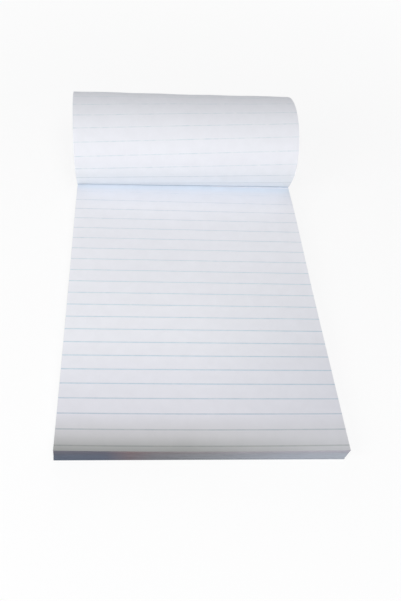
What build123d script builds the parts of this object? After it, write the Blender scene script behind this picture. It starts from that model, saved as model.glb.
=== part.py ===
from build123d import *
import os
from math import cos, radians, sin, tan

# Ruled pad bound at the head, lying on its backing board.
# Its top leaf is turned up and over the head and comes to rest on the table behind.
# Origin: middle of the board's underside. +X right, +Y towards the head, +Z up. Millimetres, degrees.

# Sheet and stack
PAD_WIDTH = 148.0
PAD_LENGTH = 210.0
BOARD_THICKNESS = 0.9
SHEET_THICKNESS = 0.1
SHEET_COUNT = 85

# Relaxed top of the stack: pressed flat at the head, swollen ahead of the crease, lifted at the foot
PRESSED_MARGIN = 2.0
SWELL_RUN = 24.0
SWELL_RISE = 0.8
FOOT_RUN = 70.0
FOOT_LIFT_LEFT = 1.4
FOOT_LIFT_MIDDLE = -0.3
FOOT_LIFT_RIGHT = 0.8

# Head tape, folded over the head and let into the board behind
TAPE_THICKNESS = 0.15
TAPE_FRONT = 5.5
TAPE_BACK = 12.0
TAPE_PLAY = 0.2

# Wire staples through the head, under the tape
STAPLE_COUNT = 2
STAPLE_PITCH = 74.0
STAPLE_CROWN = 12.0
STAPLE_SETBACK = 3.2
STAPLE_TAIL = 4.5
WIRE_WIDTH = 0.7
WIRE_THICKNESS = 0.4
WIRE_PLAY = 0.05

# Turned leaf: bends in order from the crease, all the same way up to the landing
CREASE_GAP = 1.4
CREASE_SKEW = 1.2
CREASE_RADIUS = 1.2
CREASE_TURN = 56.0
RISE_RADIUS = 44.0
RISE_TURN = 19.0
SHOULDER_RADIUS = 25.0
SHOULDER_TURN = 60.0
CREST_RADIUS = 36.0
FALL_SLOPE = 80.0

# Ruling, a film of ink on the page and on the leaf's reverse
LINE_PITCH = 9.0
LINE_WIDTH = 0.7
LINE_FOOT = 3.0
LINE_STOP = 0.6
LEAF_LINE_START = 2.85
LEAF_LINE_SKEW = 2.5
INK_THICKNESS = 0.05

# One overrun for all cutting tools
OVERRUN = 4.0

# Worked out from the sizes above
FOOT = -PAD_LENGTH / 2
HEAD = PAD_LENGTH / 2
SIDE = PAD_WIDTH / 2
PAGE_TOP = BOARD_THICKNESS + SHEET_COUNT * SHEET_THICKNESS
STUB_TOP = PAGE_TOP + SHEET_THICKNESS

CREASE_RISE = SIDE * tan(radians(CREASE_SKEW))
CREASE_DEPTH = TAPE_FRONT + CREASE_GAP + CREASE_RISE
CREASE_Y = HEAD - CREASE_DEPTH
CREASE_HALF = SIDE / cos(radians(CREASE_SKEW))
PRESSED_DEPTH = CREASE_DEPTH + CREASE_RISE + PRESSED_MARGIN
ALONG = Vector(cos(radians(CREASE_SKEW)), sin(radians(CREASE_SKEW)))
BEHIND = Vector(-sin(radians(CREASE_SKEW)), cos(radians(CREASE_SKEW)))
LEAF_PLANE = Plane(origin=(0, CREASE_Y, PAGE_TOP), x_dir=BEHIND, z_dir=ALONG)

CREST_TURN = 180 + FALL_SLOPE - CREASE_TURN - RISE_TURN - SHOULDER_TURN
OVER_BENDS = (
    (CREASE_RADIUS, CREASE_TURN),
    (RISE_RADIUS, RISE_TURN),
    (SHOULDER_RADIUS, SHOULDER_TURN),
    (CREST_RADIUS, CREST_TURN),
)
LEAF_LENGTH = PAD_LENGTH - CREASE_DEPTH


def climb(bends):
    """Height gained along a chain of bends that starts out level."""
    height = 0
    heading = 0
    for radius, turn in bends:
        height += radius * (cos(radians(heading)) - cos(radians(heading + turn)))
        heading += turn
    return height


LANDING_RADIUS = (PAGE_TOP + climb(OVER_BENDS)) / (1 - cos(radians(FALL_SLOPE)))


def block_section(x, foot_lift):
    """Lengthwise outline of the page block at one place across its width."""
    pressed = HEAD - PRESSED_DEPTH
    swell = pressed - SWELL_RUN
    hollow = FOOT + FOOT_RUN
    top = Spline(
        (FOOT, PAGE_TOP + foot_lift),
        (hollow, PAGE_TOP),
        ((hollow + swell) / 2, PAGE_TOP),
        (swell, PAGE_TOP + SWELL_RISE),
        (pressed, PAGE_TOP),
    )
    rest = Polyline(
        top @ 1,
        (HEAD, PAGE_TOP),
        (HEAD, BOARD_THICKNESS),
        (FOOT, BOARD_THICKNESS),
        top @ 0,
    )
    return Plane.YZ.offset(x) * make_face([top, rest])


def page_stack():
    """Page block before the staples go through it."""
    lifts = ((-SIDE, FOOT_LIFT_LEFT), (0, FOOT_LIFT_MIDDLE), (SIDE, FOOT_LIFT_RIGHT))
    return loft([block_section(x, lift) for x, lift in lifts])


def staple_places():
    """Middle of each staple's crown, along the head."""
    first = -STAPLE_PITCH * (STAPLE_COUNT - 1) / 2
    return [Pos(first + i * STAPLE_PITCH, HEAD - STAPLE_SETBACK, 0) for i in range(STAPLE_COUNT)]


def wire_loop(play):
    """Closed loop of flat wire from the crown to the clinch, grown by the play all round."""
    width = STAPLE_CROWN + 2 * play
    height = STUB_TOP - TAPE_THICKNESS + 2 * play
    inner_width = STAPLE_CROWN - 2 * WIRE_THICKNESS - 2 * play
    inner_height = STUB_TOP - TAPE_THICKNESS - 2 * WIRE_THICKNESS - 2 * play
    middle = (STUB_TOP + TAPE_THICKNESS) / 2
    loop = Rectangle(width, height) - Rectangle(inner_width, inner_height)
    solid = extrude(Plane.XZ * loop, amount=WIRE_WIDTH / 2 + play, both=True)
    return Pos(0, 0, middle) * solid


def staple_rooms():
    """Room that the staples take up in the sheets and the board."""
    return [place * wire_loop(WIRE_PLAY) for place in staple_places()]


def staple():
    """Flat wire staple with rounded shoulders and its two tails clinched inward."""
    body = wire_loop(0)
    shoulders = body.edges().filter_by(Axis.Y).group_by(Axis.X)
    outer = shoulders[0] + shoulders[-1]
    body = fillet(outer, WIRE_THICKNESS)
    opening = STAPLE_CROWN - 2 * STAPLE_TAIL
    gap = Box(opening, WIRE_WIDTH + OVERRUN, 2 * WIRE_THICKNESS)
    return body - Pos(0, 0, TAPE_THICKNESS) * gap


def backing_board():
    """Chipboard back, let in under the head by the thickness of the tape."""
    sketch = Rectangle(PAD_WIDTH, PAD_LENGTH)
    board = extrude(sketch, amount=BOARD_THICKNESS)
    let_in = Box(
        PAD_WIDTH + OVERRUN,
        TAPE_BACK + TAPE_PLAY,
        TAPE_THICKNESS,
        align=(Align.CENTER, Align.MAX, Align.MIN),
    )
    return board - Pos(0, HEAD, 0) * let_in - staple_rooms()


def binding_tape():
    """Paper tape folded over the head, from the front of the stub to the back of the board."""
    outer_height = STUB_TOP + TAPE_THICKNESS
    front = Polyline(
        (HEAD - TAPE_BACK, 0),
        (HEAD + TAPE_THICKNESS, 0),
        (HEAD + TAPE_THICKNESS, outer_height),
        (HEAD - TAPE_FRONT, outer_height),
        (HEAD - TAPE_FRONT, STUB_TOP),
        (HEAD, STUB_TOP),
        (HEAD, TAPE_THICKNESS),
        (HEAD - TAPE_BACK, TAPE_THICKNESS),
        close=True,
    )
    tape = extrude(Plane.YZ * make_face(front), amount=SIDE, both=True)
    folds = tape.edges().filter_by(Axis.X).group_by(Axis.Y)[-1]
    return fillet(folds, TAPE_THICKNESS)


def leaf_path(offset):
    """Line of the leaf seen along its crease, moved from mid-thickness towards its reverse."""
    over = [(radius + offset, turn, radius) for radius, turn in OVER_BENDS]
    landing = (LANDING_RADIUS - offset, -FALL_SLOPE, LANDING_RADIUS)
    point = Vector(0, SHEET_THICKNESS / 2 - offset)
    heading = Vector(-1, 0)
    left = LEAF_LENGTH
    edges = []
    for radius, turn, mid_radius in over + [landing]:
        share = min(1, left / (mid_radius * radians(abs(turn))))
        if share > 0:
            bend = JernArc(point, heading, radius, -turn * share)
            point = bend @ 1
            heading = bend % 1
            left -= mid_radius * radians(abs(turn)) * share
            edges.append(bend)
    if left > 0:
        edges.append(Line(point, point + heading * left))
    return Wire(edges)


def leaf_band(offset, thickness):
    """Layer of the turned leaf, with its sides cut from the crease's ends to the free corners."""
    reach = (leaf_path(0) @ 1).X
    drift = LEAF_LENGTH * tan(radians(CREASE_SKEW))
    across = ALONG * reach + BEHIND * drift
    band = trace(leaf_path(offset), thickness)
    layer = extrude(LEAF_PLANE * band, amount=CREASE_HALF + drift + OVERRUN, both=True)
    right = Plane(origin=LEAF_PLANE.origin + ALONG * CREASE_HALF, z_dir=across)
    left = Plane(origin=LEAF_PLANE.origin - ALONG * CREASE_HALF, z_dir=across)
    layer = split(layer, bisect_by=right, keep=Keep.BOTTOM)
    return split(layer, bisect_by=left, keep=Keep.TOP)


def leaf_stub(bottom, height, ahead):
    """Strip of the leaf that stays bound, from the crease, or a little ahead of it, to the head."""
    outline = Polyline(
        (-SIDE, CREASE_Y - CREASE_RISE - ahead),
        (SIDE, CREASE_Y + CREASE_RISE - ahead),
        (SIDE, HEAD),
        (-SIDE, HEAD),
        close=True,
    )
    return extrude(Pos(0, 0, bottom) * make_face(outline), amount=height)


def turned_leaf():
    """Whole top leaf: bound stub, crease, arch over the head and tail on the table."""
    leaf = leaf_band(0, SHEET_THICKNESS) + leaf_stub(PAGE_TOP, SHEET_THICKNESS, 0)
    return leaf - staple_rooms()


def page_ruling(stack):
    """Ruled lines on the open page, stopping just short of the crease."""
    bound = leaf_stub(PAGE_TOP - OVERRUN, 2 * OVERRUN, LINE_STOP)
    count = 1 + int((PAD_LENGTH - LINE_FOOT - TAPE_FRONT - CREASE_GAP) // LINE_PITCH)
    raised = Pos(0, 0, INK_THICKNESS) * stack
    bar = Box(PAD_WIDTH + OVERRUN, LINE_WIDTH, 2 * OVERRUN)
    lines = []
    for i in range(count):
        place = Pos(0, FOOT + LINE_FOOT + i * LINE_PITCH, PAGE_TOP)
        line = (place * bar & raised) - stack - bound
        lines += line.solids()
    return Compound(lines)


def leaf_ruling():
    """Ruled lines on the leaf's reverse, which the arch turns outward."""
    outside = (SHEET_THICKNESS + INK_THICKNESS) / 2
    film = leaf_band(outside, INK_THICKNESS)
    path = leaf_path(0)
    gain = PAD_WIDTH * tan(radians(LEAF_LINE_SKEW))
    count = 1 + int((LEAF_LENGTH - LEAF_LINE_START - gain - LINE_WIDTH) // LINE_PITCH)
    bar = Box(PAD_WIDTH + 2 * LINE_PITCH, LINE_WIDTH, OVERRUN / 2)
    lines = []
    for i in range(count):
        start = LEAF_LINE_START + i * LINE_PITCH
        spot = [path.position_at(start + gain * part, position_mode=PositionMode.LENGTH) for part in (0, 1)]
        left, right = (LEAF_PLANE.from_local_coords(p) for p in spot)
        left -= ALONG * CREASE_HALF
        right += ALONG * CREASE_HALF
        slope = path.tangent_at(start + gain / 2, position_mode=PositionMode.LENGTH)
        run = LEAF_PLANE.from_local_coords(slope) - LEAF_PLANE.origin
        place = Plane(origin=(left + right) / 2, x_dir=right - left, z_dir=(right - left).cross(run))
        lines += (place * bar & film).solids()
    return Compound(lines)


def main():
    stack = page_stack()
    nodes = {
        "backing_board": backing_board(),
        "page_block": stack - staple_rooms(),
        "turned_leaf": turned_leaf(),
        "binding_tape": binding_tape(),
        "wire_staples": Compound([place * staple() for place in staple_places()]),
        "page_ruling": page_ruling(stack),
        "leaf_ruling": leaf_ruling(),
    }
    os.makedirs("parts", exist_ok=True)
    for name, shape in nodes.items():
        export_step(shape, f"parts/{name}.step")


main()
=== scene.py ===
from math import cos, radians, sin, tan

import bpy
import numpy as np
from mathutils import Matrix, Vector
from mathutils.bvhtree import BVHTree

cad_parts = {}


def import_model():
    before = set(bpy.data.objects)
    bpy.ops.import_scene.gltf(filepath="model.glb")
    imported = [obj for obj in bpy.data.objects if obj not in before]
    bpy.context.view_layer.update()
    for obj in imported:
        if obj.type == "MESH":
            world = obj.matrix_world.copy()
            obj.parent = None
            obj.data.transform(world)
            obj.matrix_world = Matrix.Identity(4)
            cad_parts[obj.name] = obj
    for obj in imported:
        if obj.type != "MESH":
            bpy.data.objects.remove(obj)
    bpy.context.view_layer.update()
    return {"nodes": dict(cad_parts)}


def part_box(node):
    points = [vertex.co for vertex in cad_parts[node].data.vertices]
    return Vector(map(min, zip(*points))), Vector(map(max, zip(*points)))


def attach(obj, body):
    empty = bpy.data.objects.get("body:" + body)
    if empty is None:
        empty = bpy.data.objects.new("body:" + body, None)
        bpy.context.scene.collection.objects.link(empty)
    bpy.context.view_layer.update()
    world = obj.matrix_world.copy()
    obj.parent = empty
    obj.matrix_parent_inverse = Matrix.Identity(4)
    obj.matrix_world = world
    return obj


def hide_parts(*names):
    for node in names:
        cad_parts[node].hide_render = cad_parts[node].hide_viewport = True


# Looks of a ruled pad: sheets with their edges, the turned leaf, the ruling, paper, card, tape and wire.
# Lengths are in millimetres and angles in degrees, and meshes are written in metres.

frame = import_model()
nodes = frame["nodes"]
MM = 0.001

# Camera that took the picture
PICTURE_WIDTH_PX = 401
PICTURE_HEIGHT_PX = 601
FOCAL_PX = 603.7
CENTRE_X_PX = 168.6
CENTRE_Y_PX = 316.1
CAMERA_EYE = (-39.4, -235.3, 283.9)
CAMERA_PITCH = 51.73
CAMERA_YAW = -6.48
CAMERA_ROLL = 5.82
SENSOR_WIDTH = 36.0
NEAREST_SEEN = 10.0

# Floor and light from all round
WHITE = (1, 1, 1, 1)
FLOOR_SIZE = 6000.0
FLOOR_DROP = 0.05
FLOOR_SHADE = (0.97, 0.97, 0.97)
FLOOR_GLOW_SHARE = 0.8
FLOOR_FADE_START = 250.0
FLOOR_FADE_END = 650.0
WORLD_SHADE = (0.97, 0.985, 1.0)
WORLD_LEVEL = 0.28

# Lamps: place, size, and the share of full white to which each lights a face turned to it
LAMPS = {
    "key": ((100.0, -1500.0, 1950.0), 1500.0, 0.53),
    "front": ((-150.0, -1300.0, 700.0), 900.0, 0.1),
    "back": ((-250.0, 1300.0, 250.0), 900.0, 0.24),
    "side": ((-650.0, -420.0, 470.0), 500.0, 0.28),
    "fill": ((300.0, -330.0, 130.0), 260.0, 0.06),
}

# Bound sheets, between the sides, foot and head that the frame gives
block_low, block_high = (np.array(corner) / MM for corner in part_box("page_block"))
SIDE = block_high[0]
FOOT = block_low[1]
HEAD = block_high[1]
BOARD_TOP = block_low[2]
SHEET_COUNT = 85
SHEET_THICKNESS = 0.1
PAGE_TOP = BOARD_TOP + SHEET_COUNT * SHEET_THICKNESS

# Turned leaf: its crease, and each bend from there on as a radius and a turn
TAPE_FRONT = 5.5
CREASE_GAP = 1.4
CREASE_SKEW = 1.2
OVER_BENDS = ((1.2, 56.0), (44.0, 19.0), (25.0, 60.0), (36.0, 125.0))
FALL_SLOPE = 80.0
CREASE_DEPTH = TAPE_FRONT + CREASE_GAP + SIDE * tan(radians(CREASE_SKEW))
CREASE_Y = HEAD - CREASE_DEPTH
CREASE_HALF = SIDE / cos(radians(CREASE_SKEW))
LEAF_LENGTH = HEAD - FOOT - CREASE_DEPTH
ALONG = np.array([cos(radians(CREASE_SKEW)), sin(radians(CREASE_SKEW)), 0])
BEHIND = np.array([-sin(radians(CREASE_SKEW)), cos(radians(CREASE_SKEW)), 0])
UP = np.array([0, 0, 1])

# Edges that turn more than this stay sharp
SHARP_ANGLE = 40.0

# Leaf mesh: steps across and along, and how far a real sheet strays from a true roll
LEAF_COLUMNS = 56
LEAF_ACROSS = np.linspace(-1, 1, LEAF_COLUMNS + 1)
LEAF_STEP = 1.2
CREASE_STEPS = 12
STUB_STEPS = 3
WAVE_DEPTH = 0.35
WAVE_LENGTH = 74.0
WAVE_TURNS = 1.4
WAVE_START = 12.0
WAVE_FULL = 45.0
CORNER_LIFT = 0.5
CORNER_RUN = 30.0
CORNER_RUN_POWER = 2
CORNER_SIDE_POWER = 3
TAIL_LIFT = 0.05
TAIL_RUN = 30.0

# Stack mesh: steps across and along, and how far single sheets stand in or out
STACK_COLUMNS = 24
STACK_ROWS = 70
PROBE_COLUMNS = 9
PROBE_ROWS = 43
PROBE_INSET = 0.02
SHEET_SEED = 7
SHEET_STRAY = 0.05
SHEET_STRAY_MOST = 0.12
FAN_AT_FOOT = 0.6

# Ruling
LINE_PITCH = 9.0
LINE_WIDTH = 0.7
LINE_FOOT = 3.0
LINE_STOP = 0.6
LINE_STEPS = 48
LEAF_LINE_START = 2.85
LEAF_LINE_SKEW = 2.5
INK_HEIGHT = 0.03
INK_ROOT = 0.03

# Corners around a printed line's section: places along the sheet and out of it
INK_SECTION = (
    (-LINE_WIDTH / 2, -INK_ROOT),
    (-LINE_WIDTH / 2, INK_HEIGHT),
    (LINE_WIDTH / 2, INK_HEIGHT),
    (LINE_WIDTH / 2, -INK_ROOT),
)

# Colours, as the share of light that comes back in red, green and blue
PAGE_SHADE = (0.885, 0.892, 0.938)
# LEAF_SHADE carries painted shade: darker than the page's paper, so that the front of the arch and its
# crest look shaded; REAR_TINTS lift it and the leaf's ink back behind the arch
LEAF_SHADE = (0.762, 0.769, 0.812)
PAGE_INK = (0.615, 0.715, 0.795)
LEAF_INK = (0.557, 0.667, 0.728)
BOARD_FOOT_SHADE = (0.62, 0.625, 0.64)

# Colours by a noise's value
EDGE_STOPS = (
    (0.3, (0.57, 0.573, 0.588)),
    (0.55, (0.72, 0.723, 0.742)),
    (0.75, (0.82, 0.823, 0.842)),
)
CARD_STOPS = ((0.3, (0.28, 0.272, 0.255)), (0.7, (0.38, 0.37, 0.35)))
TAPE_STOPS = ((0.3, (0.68, 0.69, 0.72)), (0.7, (0.74, 0.75, 0.78)))
WIRE_STOPS = ((0.3, (0.5, 0.5, 0.52)), (0.7, (0.66, 0.66, 0.68)))
CLOUD_PLACES = (0.35, 0.65)
CLOUD_LEVELS = (0.985, 1.01)
INK_PLACES = (0.35, 0.7)
INK_PALING = 0.25

# Tints that colours are multiplied by. PLAIN leaves a colour as it is.
PLAIN = (1, 1, 1)
FLECK_TINTS = ((0.3, (0.55, 0.52, 0.5)), (0.42, PLAIN), (0.66, PLAIN), (0.74, (1.3, 1.28, 1.2)))

# Ink from the foot to the crease
INK_TINTS = (
    (0.0, (1.05, 0.95, 0.88)),
    (0.1, (0.97, 0.95, 0.96)),
    (0.22, (0.96, 0.985, 1)),
    (0.4, PLAIN),
    (0.55, (1.06, 1.04, 1.02)),
    (1.0, (1.14, 1.03, 1.01)),
)

# Painted shade on the page and its ink from the foot on, less towards the right, and over a wider run on
# the right half
PAGE_FOOT_PAINTED_SHADE_RUN = 70.0
PAGE_FOOT_PAINTED_SHADE_TINTS = (
    (0.0, (0.38, 0.385, 0.36)),
    (0.12, (0.66, 0.65, 0.635)),
    (0.3, (0.86, 0.85, 0.865)),
    (0.6, (0.93, 0.927, 0.94)),
    (1.0, PLAIN),
)
PAGE_FOOT_PAINTED_SHADE_SIDES = ((0.45, (1, 1, 1)), (0.95, (0.58, 0.58, 0.58)))
WIDE_PAINTED_SHADE_RUN = 140.0
WIDE_PAINTED_SHADE_TINTS = (
    (0.0, (0.95, 0.95, 0.96)),
    (0.1, (0.87, 0.87, 0.88)),
    (0.4, (0.87, 0.87, 0.88)),
    (1.0, PLAIN),
)

# Bluish painted shade on the page from the crease towards the foot, painted shade and light on the leaf
# from the crease up, and leaf and ink paler behind the arch, where the leaf's painted shade ends
PAGE_CREASE_PAINTED_SHADE_RUN = 24.0
PAGE_CREASE_PAINTED_SHADE_TINTS = (
    (0.04, (0.74, 0.805, 0.853)),
    (0.2, (0.793, 0.842, 0.88)),
    (0.32, (0.84, 0.864, 0.888)),
    (0.5, (0.9, 0.911, 0.926)),
    (1.0, PLAIN),
)
LEAF_CREASE_PAINTED_SHADE_AND_LIGHT_RUN = 24.0
LEAF_CREASE_PAINTED_SHADE_AND_LIGHT_TINTS = (
    (0.0, (0.74, 0.8, 0.84)),
    (0.023, (0.94, 0.99, 1.01)),
    (0.053, (1.13, 1.16, 1.15)),
    (0.2, (1.13, 1.155, 1.145)),
    (0.33, (1.11, 1.135, 1.125)),
    (0.53, (1.05, 1.07, 1.06)),
    (0.8, (1.025, 1.035, 1.03)),
    (1.0, PLAIN),
)
REAR_START = 138.0
REAR_END = 160.0
REAR_TINTS = ((0.0, PLAIN), (1.0, (1.14, 1.14, 1.13)))

# Painted shade on the foot face from left to right, and from the board up at either side
FOOT_FACE_PAINTED_SHADE = (
    (0.0, (0.178, 0.202, 0.253)),
    (0.17, (0.18, 0.199, 0.253)),
    (0.25, (0.276, 0.233, 0.25)),
    (0.33, (0.29, 0.285, 0.302)),
    (0.5, (0.37, 0.38, 0.398)),
    (0.8, (0.535, 0.562, 0.614)),
    (1.0, (0.57, 0.603, 0.655)),
)
FOOT_LEFT_TINTS = ((0.05, (0.93, 0.96, 0.985)), (0.5, PLAIN), (0.95, (1.16, 1.02, 0.96)))
FOOT_RIGHT_TINTS = ((0.6, PLAIN), (0.95, (0.98, 0.9, 0.91)))
FOOT_FACE_PAINTED_SHADE_RUN = 14.0
FOOT_SKIN = 0.3

# Noises: blotches to a metre, how many times as many along X, Y and Z, levels of detail and their weight
PAPER_CLOUD = (140, (1, 1, 1), 5, 0.6)
PAPER_TOOTH = (3200, (1, 1, 1), 3, 0.6)
EDGE_LINES = (90, (1, 1, 40), 6, 0.75)
INK_BLOTCHES = (260, (1, 1, 1), 4, 0.6)
CARD_CLOUD = (90, (1, 1, 1), 6, 0.6)
CARD_FLECKS = (900, (1, 0.4, 1), 2, 0.6)
TAPE_GRAIN = (1200, (0.15, 1, 1), 4, 0.6)
WIRE_GRAIN = (4000, (0.05, 1, 1), 3, 0.6)

# Roughness from a noise's usual lows to its usual highs
NOISE_SPAN = (0.3, 0.7)
PAPER_ROUGHNESS = (0.82, 0.95)
EDGE_ROUGHNESS = (0.8, 0.95)
INK_ROUGHNESS = (0.75, 0.9)
CARD_ROUGHNESS = (0.8, 0.95)
TAPE_ROUGHNESS = (0.5, 0.68)
WIRE_ROUGHNESS = (0.24, 0.42)

# Shine, as the shader's specular level
PAPER_SHINE = 0.2
EDGE_SHINE = 0.15
INK_SHINE = 0.2
CARD_SHINE = 0.2
TAPE_SHINE = 0.35
WIRE_SHINE = 0.5

# Relief: depth and strength
PAPER_RELIEF = (0.02, 0.35)
EDGE_RELIEF = (0.08, 0.5)
CARD_RELIEF = (0.05, 0.5)
TAPE_RELIEF = (0.02, 0.4)
WIRE_RELIEF = (0.01, 0.4)

random = np.random.default_rng(SHEET_SEED)


def new_piece(name, points, faces, materials, replaced):
    """Mesh piece that rides with the pad. Faces are (corner indices, material number, smooth or not)."""
    mesh = bpy.data.meshes.new(name)
    mesh.from_pydata((np.asarray(points) * MM).tolist(), [], [corners for corners, _, _ in faces])
    mesh.polygons.foreach_set("material_index", [number for _, number, _ in faces])
    mesh.polygons.foreach_set("use_smooth", [smooth for _, _, smooth in faces])
    for material in materials:
        mesh.materials.append(material)
    mesh.update()
    mesh.set_sharp_from_angle(angle=radians(SHARP_ANGLE))
    piece = bpy.data.objects.new(name, mesh)
    bpy.context.scene.collection.objects.link(piece)
    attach(piece, "root")
    if replaced:
        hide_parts(*replaced)


def ease(share):
    """Smooth step from 0 to 1."""
    share = np.clip(share, 0, 1)
    return share * share * (3 - 2 * share)


def hermite(at, places, values):
    """Smooth curve through values at evenly spaced places."""
    step = places[1] - places[0]
    slopes = np.gradient(values, step)
    i = np.clip(((at - places[0]) / step).astype(int), 0, len(places) - 2)
    t = (at - places[i]) / step
    low = (1 + 2 * t) * (1 - t) ** 2 * values[i] + t * (1 - t) ** 2 * step * slopes[i]
    high = t * t * (3 - 2 * t) * values[i + 1] + t * t * (t - 1) * step * slopes[i + 1]
    return low + high


def probe_page():
    """Height of the page along its length, as the three terms of a parabola across it."""
    mesh = nodes["page_block"].data
    tree = BVHTree.FromPolygons([v.co for v in mesh.vertices], [p.vertices for p in mesh.polygons])
    across = np.linspace(-SIDE + PROBE_INSET, SIDE - PROBE_INSET, PROBE_COLUMNS)
    along = np.linspace(FOOT + PROBE_INSET, HEAD - PROBE_INSET, PROBE_ROWS)
    above = 2 * block_high[2]
    terms = []
    for y in along:
        heights = [tree.ray_cast(Vector((x, y, above)) * MM, -Vector(UP))[0].z / MM for x in across]
        terms.append(np.polyfit(across, heights, 2))
    return along, np.array(terms)


probe_places, probe_terms = probe_page()


def page_height(x, y):
    """Height of the open page's surface."""
    square, straight, middle = (hermite(y, probe_places, probe_terms[:, k]) for k in range(3))
    return square * x * x + straight * x + middle


def rim_walk(columns, rows):
    """Grid places around the rim of a grid, once round from its first corner."""
    foot = [(i, 0) for i in range(columns)]
    right = [(columns, j) for j in range(rows)]
    head = [(i, rows) for i in range(columns, 0, -1)]
    left = [(0, j) for j in range(rows, 0, -1)]
    return foot + right + head + left


def grid_faces(number, order=1):
    """Smooth faces over a grid of point numbers, wound the other way round where order is -1."""
    faces = []
    for i in range(number.shape[0] - 1):
        for j in range(number.shape[1] - 1):
            corners = [number[i, j], number[i + 1, j], number[i + 1, j + 1], number[i, j + 1]]
            faces.append(([int(c) for c in corners[::order]], 0, True))
    return faces


def fan(y):
    """How far left the board stands at a place along the pad, turned about the bound head."""
    return FAN_AT_FOOT * (HEAD - y) / (HEAD - FOOT)


def sheet_rings(x, y, rise):
    """Rings of points around the stack's rim: the lower and the upper edge of each sheet.

    From the page down to the board, each sheet stands a little further left at the foot.
    """
    rings = []
    for sheet in range(SHEET_COUNT):
        stray = np.clip(random.normal(0, SHEET_STRAY, 2), -SHEET_STRAY_MOST, SHEET_STRAY_MOST)
        if sheet == SHEET_COUNT - 1:
            stray = np.zeros(2)
        for level in (sheet, sheet + 1):
            share = level / SHEET_COUNT
            aside = x + stray[0] - fan(y) * (1 - share)
            rings.append(np.stack([aside, y + stray[1], BOARD_TOP + rise * share], axis=1))
    return rings


def page_stack(page, edges):
    """All bound sheets as one body: a smooth open page on top, and each sheet's own edge on the sides."""
    half_width = SIDE - SHEET_STRAY_MOST
    half_length = HEAD - SHEET_STRAY_MOST
    x, y = np.meshgrid(
        np.linspace(-half_width, half_width, STACK_COLUMNS + 1),
        np.linspace(-half_length, half_length, STACK_ROWS + 1),
        indexing="ij",
    )
    rise = page_height(x, y) - BOARD_TOP
    walk = rim_walk(STACK_COLUMNS, STACK_ROWS)
    around = len(walk)
    rim = tuple(np.array(walk).T)
    rings = sheet_rings(x[rim], y[rim], rise[rim])
    faces = [(list(range(around))[::-1], 1, False)]
    for ring in range(len(rings) - 1):
        low, high = ring * around, (ring + 1) * around
        for i in range(around):
            j = (i + 1) % around
            faces.append(([low + i, low + j, high + j, high + i], 1, False))
    number = np.full(x.shape, -1)
    number[rim] = (len(rings) - 1) * around + np.arange(around)
    inner = number < 0
    number[inner] = len(rings) * around + np.arange(inner.sum())
    inner_points = np.stack([x[inner], y[inner], BOARD_TOP + rise[inner]], axis=1)
    points = np.concatenate([*rings, inner_points])
    faces += grid_faces(number)
    new_piece("page_sheets", points, faces, [page, edges], ["page_block"])


def leaning_board(card):
    """Backing board, moved left towards the foot with the lowest sheets."""
    board = nodes["backing_board"].data
    points = np.array([v.co for v in board.vertices]) / MM
    points[:, 0] -= fan(points[:, 1])
    faces = [(list(p.vertices), 0, False) for p in board.polygons]
    new_piece("board_card", points, faces, [card], ["backing_board"])


def bend_chain():
    """Each bend of the leaf as start, place, height, heading and signed radius, and the tail after them.

    The last bend turns the other way, with the radius at which the tail comes to lie level on the table.
    """
    lift = 0
    slope = 0
    for radius, turn in OVER_BENDS:
        lift += radius * (cos(radians(slope)) - cos(radians(slope + turn)))
        slope += turn
    landing = (PAGE_TOP + lift) / (1 - cos(radians(FALL_SLOPE)))
    run, q, z, heading = 0, 0, 0, 0
    chain = []
    for radius, turn in (*OVER_BENDS, (-landing, FALL_SLOPE)):
        chain.append((run, q, z, heading, radius))
        after = heading + radians(turn) * np.sign(radius)
        q -= radius * (sin(after) - sin(heading))
        z -= radius * (cos(after) - cos(heading))
        run += abs(radius) * radians(turn)
        heading = after
    return chain, (run, q, z, heading)


leaf_chain, leaf_tail = bend_chain()


def leaf_profile(run):
    """Place behind the crease, height over it and heading of the leaf's middle, by run from the crease."""
    run = np.asarray(run, float)
    start, q0, z0, heading0 = leaf_tail
    q = q0 + (run - start)
    z = np.full(run.shape, z0)
    heading = np.full(run.shape, heading0)
    for (start, q0, z0, heading0, radius), (end, *_) in zip(leaf_chain, leaf_chain[1:] + [leaf_tail]):
        here = (run >= start) & (run < end)
        turned = heading0 + (run - start) / radius
        q = np.where(here, q0 - radius * (np.sin(turned) - sin(heading0)), q)
        z = np.where(here, z0 - radius * (np.cos(turned) - cos(heading0)), z)
        heading = np.where(here, turned, heading)
    return q, z, heading


def leaf_stray(across, run):
    """How far the sheet stands out from a true roll: shallow waves inward on the arch, free end up."""
    tail_start = leaf_tail[0]
    arch = ease((run - WAVE_START) / (WAVE_FULL - WAVE_START)) * ease((tail_start - run) / WAVE_FULL)
    turns = run / WAVE_LENGTH + WAVE_TURNS * across
    wave = np.sin(2 * np.pi * turns) * np.cos(np.pi * across * WAVE_TURNS)
    corner = ease((run - LEAF_LENGTH + CORNER_RUN) / CORNER_RUN) ** CORNER_RUN_POWER
    corner = corner * np.abs(across) ** CORNER_SIDE_POWER
    tail = ease((run - tail_start + TAIL_RUN) / TAIL_RUN)
    return CORNER_LIFT * corner + TAIL_LIFT * tail - WAVE_DEPTH * arch * (1 + wave) / 2


def leaf_point(across, run, out):
    """Point of the leaf: across from -1 to 1, run from the crease, and height out of its middle.

    A height above 0 is on the leaf's reverse, which the arch turns outward.
    """
    q, z, heading = leaf_profile(run)
    out = out + leaf_stray(across, run)
    q = q - np.sin(heading) * out
    z = z - np.cos(heading) * out
    a = across * CREASE_HALF - tan(radians(CREASE_SKEW)) * np.asarray(run)
    crease = np.array([0, CREASE_Y, PAGE_TOP + SHEET_THICKNESS / 2])
    return crease + a[..., None] * ALONG + q[..., None] * BEHIND + z[..., None] * UP


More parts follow.
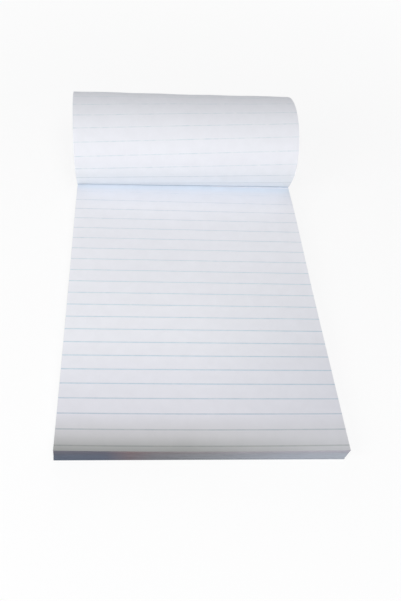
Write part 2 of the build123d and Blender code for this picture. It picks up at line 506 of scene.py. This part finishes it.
def leaf_runs():
    """Runs from the crease at which the leaf's mesh has a row."""
    crease_end = leaf_chain[1][0]
    steps = int((LEAF_LENGTH - crease_end) / LEAF_STEP)
    return np.concatenate([
        np.linspace(0, crease_end, CREASE_STEPS, endpoint=False),
        np.linspace(crease_end, LEAF_LENGTH, steps),
    ])


def stub_points(out):
    """Bound strip of the leaf, from the head to the crease."""
    x = LEAF_ACROSS * SIDE
    crease = CREASE_Y + x * tan(radians(CREASE_SKEW))
    z = np.full(x.shape, PAGE_TOP + SHEET_THICKNESS / 2 - out)
    shares = np.arange(STUB_STEPS) / STUB_STEPS
    return np.array([np.stack([x, HEAD + (crease - HEAD) * share, z], axis=1) for share in shares])


def turned_leaf(paper):
    """The whole leaf: bound strip, crease, arch and tail, with both faces and a cut edge all round."""
    grid_across, grid_run = np.meshgrid(LEAF_ACROSS, leaf_runs())
    skins = []
    for out in (SHEET_THICKNESS / 2, -SHEET_THICKNESS / 2):
        skins.append(np.concatenate([stub_points(out), leaf_point(grid_across, grid_run, out)]))
    rows, columns, _ = skins[0].shape
    number = np.arange(2 * rows * columns).reshape(2, rows, columns)
    faces = grid_faces(number[0], -1) + grid_faces(number[1])
    walk = rim_walk(rows - 1, columns - 1)
    for here, after in zip(walk, walk[1:] + walk[:1]):
        corners = [number[0][here], number[0][after], number[1][after], number[1][here]]
        faces.append(([int(c) for c in corners], 0, False))
    points = np.concatenate(skins).reshape(-1, 3)
    new_piece("turned_sheet", points, faces, [paper], ["turned_leaf"])


def ink_strip(edges):
    """Closed strip from four long edges in order around it, each a row of points."""
    rows = len(edges[0])
    points = np.stack(edges, axis=1).reshape(-1, 3)
    faces = [([0, 1, 2, 3], 0, False), ([4 * rows - 1 - k for k in range(4)], 0, False)]
    for i in range(rows - 1):
        for k in range(4):
            m = (k + 1) % 4
            faces.append(([4 * i + k, 4 * (i + 1) + k, 4 * (i + 1) + m, 4 * i + m], 0, False))
    return points, faces


def ruling(name, strips, ink, replaced):
    """One piece from many ruled lines."""
    points, faces = [], []
    count = 0
    for strip_points, strip_faces in strips:
        faces += [([count + c for c in corners], number, smooth) for corners, number, smooth in strip_faces]
        points.append(strip_points)
        count += len(strip_points)
    new_piece(name, np.concatenate(points), faces, [ink], replaced)


def page_lines(ink):
    """Ruled lines on the open page, edge to edge, up to the crease."""
    strips = []
    count = 1 + int((HEAD - FOOT - LINE_FOOT - TAPE_FRONT - CREASE_GAP) // LINE_PITCH)
    reach = SIDE - SHEET_STRAY_MOST
    for i in range(count):
        y = FOOT + LINE_FOOT + i * LINE_PITCH
        start = (y + LINE_WIDTH / 2 + LINE_STOP - CREASE_Y) / tan(radians(CREASE_SKEW))
        x = np.linspace(max(-reach, start), reach, LINE_STEPS + 1)
        edges = []
        for along, height in INK_SECTION:
            row = np.full(x.shape, y + along)
            edges.append(np.stack([x, row, page_height(x, row) + height], axis=1))
        strips.append(ink_strip(edges))
    ruling("page_lines", strips, ink, ["page_ruling"])


def leaf_strip(starts, out):
    """One ruled line on the leaf, at a run from the crease that is given for each place across."""
    side = np.sign(out)
    edges = []
    for along, height in INK_SECTION:
        edges.append(leaf_point(LEAF_ACROSS, starts + along, side * (abs(out) + height)))
    return ink_strip(edges[:: int(side)])


def leaf_back_lines(ink):
    """Ruled lines on the leaf's reverse, which the arch turns outward."""
    gain = 2 * SIDE * tan(radians(LEAF_LINE_SKEW))
    count = 1 + int((LEAF_LENGTH - LEAF_LINE_START - gain - LINE_WIDTH) // LINE_PITCH)
    starts = [LEAF_LINE_START + i * LINE_PITCH + gain * (LEAF_ACROSS + 1) / 2 for i in range(count)]
    strips = [leaf_strip(start, SHEET_THICKNESS / 2) for start in starts]
    ruling("leaf_back_lines", strips, ink, ["leaf_ruling"])


def leaf_front_lines(ink):
    """Ruled lines on the leaf's front, inside the arch, placed as on the page below it."""
    count = int((LEAF_LENGTH - LINE_FOOT) // LINE_PITCH)
    starts = [np.full(LEAF_ACROSS.shape, LEAF_LENGTH - LINE_FOOT - i * LINE_PITCH) for i in range(count)]
    strips = [leaf_strip(start, -SHEET_THICKNESS / 2) for start in starts]
    ruling("leaf_front_lines", strips, ink, [])


def new_material(name):
    """New node material, its node tree and its surface shader."""
    material = bpy.data.materials.new(name)
    material.use_nodes = True
    return material, material.node_tree, material.node_tree.nodes["Principled BSDF"]


def feed(tree, socket, value):
    """Links a socket to another one, or sets it to a plain value."""
    if isinstance(value, bpy.types.NodeSocket):
        tree.links.new(value, socket)
    else:
        socket.default_value = value


def add_node(tree, kind, settings=None, **inputs):
    """Node of a kind, with its settings, and its inputs by name as values or as sockets to link."""
    node = tree.nodes.new(kind)
    for name, value in (settings or {}).items():
        setattr(node, name, value)
    for name, value in inputs.items():
        feed(tree, node.inputs[name.replace("_", " ")], value)
    return node


def map_range(tree, value, start, end, low=0.0, high=1.0):
    """Goes from low to high as a value goes from start to end."""
    spans = {"From_Min": start, "From_Max": end, "To_Min": low, "To_Max": high}
    return add_node(tree, "ShaderNodeMapRange", Value=value, **spans).outputs["Result"]


def place_share(tree, axis, start, end):
    """0 to 1 from one place to another along an axis of the pad's own frame."""
    coordinates = add_node(tree, "ShaderNodeTexCoord")
    split = add_node(tree, "ShaderNodeSeparateXYZ", Vector=coordinates.outputs["Object"])
    return map_range(tree, split.outputs[axis], start * MM, end * MM)


def place_noise(tree, scale, crowding, detail, weight):
    """Noise in the pad's own frame: so many blotches to a metre, times the crowding along each axis."""
    coordinates = add_node(tree, "ShaderNodeTexCoord")
    mapping = add_node(tree, "ShaderNodeMapping", Vector=coordinates.outputs["Object"], Scale=crowding)
    place = mapping.outputs["Vector"]
    noise = add_node(tree, "ShaderNodeTexNoise", Vector=place, Scale=scale, Detail=detail, Roughness=weight)
    return noise.outputs["Fac"]


def ramp(tree, value, stops):
    """Colour ramp from (place, colour) stops."""
    node = add_node(tree, "ShaderNodeValToRGB", Fac=value)
    points = node.color_ramp.elements
    # New points start halfway, and each then gets its own place
    while len(points) < len(stops):
        points.new(0.5)
    for point, (place, colour) in zip(points, stops):
        point.position = place
        point.color = (*colour, 1)
    return node.outputs["Color"]


def blend(tree, mode, factor, first, second):
    """Mix of two colours."""
    node = add_node(tree, "ShaderNodeMix", {"data_type": "RGBA", "blend_type": mode})
    values = {"Factor_Float": factor, "A_Color": first, "B_Color": second}
    for socket in node.inputs:
        if socket.identifier in values:
            feed(tree, socket, values[socket.identifier])
    return next(s for s in node.outputs if s.identifier == "Result_Color")


def surface(tree, shader, colour, noise, roughness, shine):
    """Gives a shader its colour, a roughness that follows a noise, and its shine."""
    tree.links.new(colour, shader.inputs["Base Color"])
    tree.links.new(map_range(tree, noise, *NOISE_SPAN, *roughness), shader.inputs["Roughness"])
    shader.inputs["Specular IOR Level"].default_value = shine


def bump(tree, shader, height, depth, strength):
    """Relief of a given depth in millimetres."""
    node = add_node(tree, "ShaderNodeBump", Height=height, Distance=depth * MM, Strength=strength)
    tree.links.new(node.outputs["Normal"], shader.inputs["Normal"])


def page_foot_painted_shade(tree, colour):
    """Painted shade along the foot, deepest at the left and middle, widest at the right."""
    depth = ramp(tree, place_share(tree, "Y", FOOT, FOOT + PAGE_FOOT_PAINTED_SHADE_RUN), PAGE_FOOT_PAINTED_SHADE_TINTS)
    side = ramp(tree, place_share(tree, "X", -SIDE, SIDE), PAGE_FOOT_PAINTED_SHADE_SIDES)
    colour = blend(tree, "MULTIPLY", side, colour, depth)
    wide = ramp(tree, place_share(tree, "Y", FOOT, FOOT + WIDE_PAINTED_SHADE_RUN), WIDE_PAINTED_SHADE_TINTS)
    return blend(tree, "MULTIPLY", place_share(tree, "X", 0, SIDE), colour, wide)


def rear_tint(tree, colour):
    """Colour made paler behind the arch, where the leaf's painted shade ends."""
    rear = ramp(tree, place_share(tree, "Y", REAR_START, REAR_END), REAR_TINTS)
    return blend(tree, "MULTIPLY", 1.0, colour, rear)


def cloudy_paper(tree, shade):
    """Colour of white writing paper, faintly cloudy."""
    shades = [[min(1, c * level) for c in shade] for level in CLOUD_LEVELS]
    return ramp(tree, place_noise(tree, *PAPER_CLOUD), list(zip(CLOUD_PLACES, shades)))


def uncoated(tree, shader, colour):
    """Surface of uncoated writing paper: fine tooth and little shine."""
    tooth = place_noise(tree, *PAPER_TOOTH)
    surface(tree, shader, colour, tooth, PAPER_ROUGHNESS, PAPER_SHINE)
    bump(tree, shader, tooth, *PAPER_RELIEF)


def page_paper():
    """Open page: painted shade along the foot, and a bluish painted shade that deepens towards the crease.
    """
    material, tree, shader = new_material("page_paper")
    colour = page_foot_painted_shade(tree, cloudy_paper(tree, PAGE_SHADE))
    # Bluish painted shade that deepens towards the crease
    cast = ramp(tree, place_share(tree, "Y", CREASE_Y, CREASE_Y - PAGE_CREASE_PAINTED_SHADE_RUN), PAGE_CREASE_PAINTED_SHADE_TINTS)
    uncoated(tree, shader, blend(tree, "MULTIPLY", 1.0, colour, cast))
    return material


def leaf_paper():
    """Turned leaf: bluish painted shade along the crease, painted light just above it, painted shade over
    the rest of the front, and as white as the page behind the arch.
    """
    material, tree, shader = new_material("leaf_paper")
    colour = rear_tint(tree, cloudy_paper(tree, LEAF_SHADE))
    # Painted shade along the crease line and painted light just above it, in front of the arch only
    cast = ramp(tree, place_share(tree, "Z", PAGE_TOP, PAGE_TOP + LEAF_CREASE_PAINTED_SHADE_AND_LIGHT_RUN), LEAF_CREASE_PAINTED_SHADE_AND_LIGHT_TINTS)
    at_front = place_share(tree, "Y", REAR_END, REAR_START)
    uncoated(tree, shader, blend(tree, "MULTIPLY", at_front, colour, cast))
    return material


def foot_face_painted_shade(tree, colour, run):
    """Painted shade on the edges at the foot, most at the left, and for a run round its corners."""
    tint = ramp(tree, place_share(tree, "X", -SIDE, SIDE), FOOT_FACE_PAINTED_SHADE)
    height = place_share(tree, "Z", BOARD_TOP, PAGE_TOP)
    for tints, start in ((FOOT_LEFT_TINTS, SIDE), (FOOT_RIGHT_TINTS, -SIDE)):
        at_side = place_share(tree, "X", start, -start)
        tint = blend(tree, "MULTIPLY", at_side, tint, ramp(tree, height, tints))
    at_foot = place_share(tree, "Y", FOOT + run, FOOT + SHEET_STRAY_MOST)
    return blend(tree, "MULTIPLY", at_foot, colour, tint)


def sheet_edges():
    """Cut edges of many sheets: fine level lines, greyer than the page, and with painted shade at the foot.
    """
    material, tree, shader = new_material("sheet_edges")
    lines = place_noise(tree, *EDGE_LINES)
    colour = foot_face_painted_shade(tree, ramp(tree, lines, EDGE_STOPS), FOOT_FACE_PAINTED_SHADE_RUN)
    surface(tree, shader, colour, lines, EDGE_ROUGHNESS, EDGE_SHINE)
    bump(tree, shader, lines, *EDGE_RELIEF)
    return material


def ruling_ink(name, shade):
    """Pale printed line, a little uneven along its length and fainter away from the foot, with the page's
    painted shade along the foot.
    """
    material, tree, shader = new_material(name)
    pale = [c + (1 - c) * INK_PALING for c in shade]
    colour = ramp(tree, place_noise(tree, *INK_BLOTCHES), list(zip(INK_PLACES, (shade, pale))))
    fade = ramp(tree, place_share(tree, "Y", FOOT, CREASE_Y), INK_TINTS)
    colour = rear_tint(tree, blend(tree, "MULTIPLY", 1.0, page_foot_painted_shade(tree, colour), fade))
    surface(tree, shader, colour, place_noise(tree, *PAPER_TOOTH), INK_ROUGHNESS, INK_SHINE)
    return material


def chipboard():
    """Grey-brown recycled board with flecks, its foot edge as pale as the sheets' and with their painted
    shade.
    """
    material, tree, shader = new_material("chipboard")
    cloud = place_noise(tree, *CARD_CLOUD)
    flecks = place_noise(tree, *CARD_FLECKS)
    colour = blend(tree, "MULTIPLY", 1.0, ramp(tree, cloud, CARD_STOPS), ramp(tree, flecks, FLECK_TINTS))
    at_foot = place_share(tree, "Y", FOOT + FOOT_SKIN, FOOT + SHEET_STRAY_MOST)
    colour = blend(tree, "MIX", at_foot, colour, (*BOARD_FOOT_SHADE, 1))
    colour = foot_face_painted_shade(tree, colour, FOOT_SKIN)
    surface(tree, shader, colour, cloud, CARD_ROUGHNESS, CARD_SHINE)
    bump(tree, shader, flecks, *CARD_RELIEF)
    return material


def head_tape():
    """Smooth white paper tape with a faint long grain."""
    material, tree, shader = new_material("head_tape")
    grain = place_noise(tree, *TAPE_GRAIN)
    surface(tree, shader, ramp(tree, grain, TAPE_STOPS), grain, TAPE_ROUGHNESS, TAPE_SHINE)
    bump(tree, shader, grain, *TAPE_RELIEF)
    return material


def staple_wire():
    """Drawn bright wire with fine lengthwise scratches."""
    material, tree, shader = new_material("staple_wire")
    grain = place_noise(tree, *WIRE_GRAIN)
    surface(tree, shader, ramp(tree, grain, WIRE_STOPS), grain, WIRE_ROUGHNESS, WIRE_SHINE)
    bump(tree, shader, grain, *WIRE_RELIEF)
    shader.inputs["Metallic"].default_value = 1.0
    return material


def dress(node, material):
    """Gives a CAD node its finish."""
    mesh = nodes[node].data
    mesh.materials.clear()
    mesh.materials.append(material)


def combine(tree, operation, first, second):
    """Result of a calculation with two values."""
    node = add_node(tree, "ShaderNodeMath", {"operation": operation})
    tree.links.new(first, node.inputs[0])
    tree.links.new(second, node.inputs[1])
    return node.outputs["Value"]


def seen_directly(tree):
    """1 for rays from the camera, straight or by way of a mirror or glass."""
    path = add_node(tree, "ShaderNodeLightPath").outputs
    straight_or_mirrored = combine(tree, "MAXIMUM", path["Is Camera Ray"], path["Is Glossy Ray"])
    return combine(tree, "MAXIMUM", straight_or_mirrored, path["Is Transmission Ray"])


def show_mix(tree, output, share, first, second):
    """Sends a mix of two shaders to an output, with a share from 0 to 1 of the second."""
    mix = add_node(tree, "ShaderNodeMixShader", Fac=share)
    tree.links.new(first, mix.inputs[1])
    tree.links.new(second, mix.inputs[2])
    tree.links.new(mix.outputs["Shader"], tree.nodes[output].inputs["Surface"])


def floor():
    """Pale floor that keeps the pad's shadow and fades to the white backdrop further out."""
    half = FLOOR_SIZE / 2 * MM
    mesh = bpy.data.meshes.new("floor")
    corners = [(-half, -half, 0), (half, -half, 0), (half, half, 0), (-half, half, 0)]
    mesh.from_pydata(corners, [], [(0, 1, 2, 3)])
    material, tree, shader = new_material("floor")
    shader.inputs["Base Color"].default_value = (*FLOOR_SHADE, 1)
    shader.inputs["Roughness"].default_value = 1.0
    shader.inputs["Specular IOR Level"].default_value = 0.0
    glow = add_node(tree, "ShaderNodeEmission", Color=WHITE, Strength=1.0)
    place = add_node(tree, "ShaderNodeTexCoord").outputs["Object"]
    away = add_node(tree, "ShaderNodeVectorMath", {"operation": "LENGTH"}, Vector=place).outputs["Value"]
    fade = map_range(tree, away, FLOOR_FADE_START * MM, FLOOR_FADE_END * MM, FLOOR_GLOW_SHARE)
    share = combine(tree, "MULTIPLY", seen_directly(tree), fade)
    show_mix(tree, "Material Output", share, shader.outputs["BSDF"], glow.outputs["Emission"])
    mesh.materials.append(material)
    plane = bpy.data.objects.new("floor", mesh)
    plane.location.z = -FLOOR_DROP * MM
    bpy.context.scene.collection.objects.link(plane)


def world():
    """Even light from all round, and a white backdrop where it is seen directly."""
    sky = bpy.data.worlds.new("studio")
    sky.use_nodes = True
    tree = sky.node_tree
    light = tree.nodes["Background"]
    light.inputs["Color"].default_value = (*WORLD_SHADE, 1)
    light.inputs["Strength"].default_value = WORLD_LEVEL
    backdrop = add_node(tree, "ShaderNodeBackground", Color=WHITE, Strength=1.0)
    share = seen_directly(tree)
    show_mix(tree, "World Output", share, light.outputs["Background"], backdrop.outputs["Background"])
    bpy.context.scene.world = sky


def lamp(name, place, size, share):
    """Soft square lamp aimed at the pad, which lights a face turned to it by a share of full white."""
    data = bpy.data.lights.new(name, "AREA")
    data.size = size * MM
    where = Vector(place) * MM
    data.energy = share * np.pi ** 2 * where.length_squared
    light = bpy.data.objects.new(name, data)
    light.location = where
    light.rotation_euler = (-where).to_track_quat("-Z", "Y").to_euler()
    light.visible_camera = False
    bpy.context.scene.collection.objects.link(light)


def camera():
    """Camera where the picture was taken from."""
    pitch, yaw, roll = (radians(a) for a in (CAMERA_PITCH, CAMERA_YAW, CAMERA_ROLL))
    forward = Vector((0, cos(pitch), -sin(pitch)))
    right = Vector((1, 0, 0))
    up = right.cross(forward)
    turn = Matrix.Rotation(yaw, 3, "Z")
    forward, right, up = turn @ forward, turn @ right, turn @ up
    right, up = right * cos(roll) + up * sin(roll), up * cos(roll) - right * sin(roll)
    data = bpy.data.cameras.new("camera")
    data.sensor_width = SENSOR_WIDTH
    data.lens = FOCAL_PX / PICTURE_HEIGHT_PX * SENSOR_WIDTH
    data.shift_x = (PICTURE_WIDTH_PX / 2 - CENTRE_X_PX) / PICTURE_HEIGHT_PX
    data.shift_y = (CENTRE_Y_PX - PICTURE_HEIGHT_PX / 2) / PICTURE_HEIGHT_PX
    data.clip_start = NEAREST_SEEN * MM
    eye = bpy.data.objects.new("camera", data)
    axes = Matrix((right, up, -forward)).transposed().to_4x4()
    eye.matrix_world = Matrix.Translation(Vector(CAMERA_EYE) * MM) @ axes
    bpy.context.scene.collection.objects.link(eye)
    bpy.context.scene.camera = eye


page_stack(page_paper(), sheet_edges())
leaning_board(chipboard())
turned_leaf(leaf_paper())
page_lines(ruling_ink("page_ink", PAGE_INK))
leaf_ink = ruling_ink("leaf_ink", LEAF_INK)
leaf_back_lines(leaf_ink)
leaf_front_lines(leaf_ink)
dress("binding_tape", head_tape())
dress("wire_staples", staple_wire())
floor()
world()
for lamp_name, lamp_settings in LAMPS.items():
    lamp(lamp_name, *lamp_settings)
camera()
bpy.context.scene.view_settings.view_transform = "Standard"
